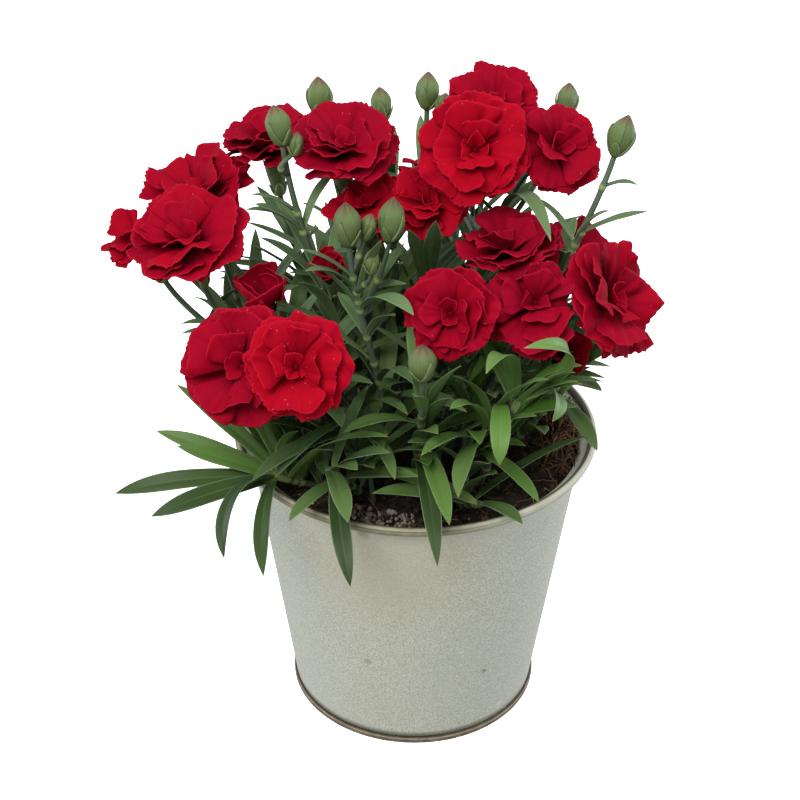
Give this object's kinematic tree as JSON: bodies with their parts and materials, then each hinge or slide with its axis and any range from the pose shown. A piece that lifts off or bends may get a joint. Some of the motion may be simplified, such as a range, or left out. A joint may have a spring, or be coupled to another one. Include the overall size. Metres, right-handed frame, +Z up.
{
  "type": "potted dianthus plant",
  "caption": "Pot carnation with double red blooms, buds and narrow grey-green leaves, growing in a tapered round metal pot with a rolled rim.",
  "frame": {"origin": "middle of the pot's foot, on the surface it stands on", "axes": "+Z up along the pot's axis; -Y is the side seen from the front, +X its right"},
  "size_m": [0.1996, 0.1867, 0.259],
  "materials": {
    "metal_paint": "satin",
    "seam_paint": "satin",
    "peat": "rough",
    "stem_green": "matte",
    "shoot_green": "satin",
    "petal_red": "matte"
  },
  "bodies": {
    "root": {"bloom_01": "petal_red", "bloom_02": "petal_red", "bloom_03": "petal_red", "bloom_04": "petal_red", "bloom_05": "petal_red", "bloom_06": "petal_red", "bloom_07": "petal_red", "bloom_08": "petal_red", "bloom_09": "petal_red", "bloom_10": "petal_red", "bloom_11": "petal_red", "bloom_12": "petal_red", "bloom_13": "petal_red", "bloom_14": "petal_red", "bloom_15": "petal_red", "bloom_16": "petal_red", "bloom_17": "petal_red", "bloom_18": "petal_red", "bloom_19": "petal_red", "bloom_20": "petal_red", "bloom_21": "petal_red", "pot_base": "seam_paint", "pot_wall": "metal_paint", "shoot_01": "shoot_green", "shoot_02": "shoot_green", "shoot_03": "shoot_green", "shoot_04": "shoot_green", "shoot_05": "shoot_green", "shoot_06": "shoot_green", "shoot_07": "shoot_green", "shoot_08": "shoot_green", "shoot_09": "shoot_green", "shoot_10": "shoot_green", "shoot_11": "shoot_green", "soil": "peat", "stem_01": "stem_green", "stem_02": "stem_green", "stem_03": "stem_green", "stem_04": "stem_green", "stem_05": "stem_green", "stem_06": "stem_green", "stem_07": "stem_green", "stem_08": "stem_green", "stem_09": "stem_green", "stem_10": "stem_green", "stem_11": "stem_green", "stem_12": "stem_green", "stem_13": "stem_green", "stem_14": "stem_green", "stem_15": "stem_green", "stem_16": "stem_green", "stem_17": "stem_green", "stem_18": "stem_green", "stem_19": "stem_green", "stem_20": "stem_green", "stem_21": "stem_green", "stem_22": "stem_green"}
  },
  "joints": []
}
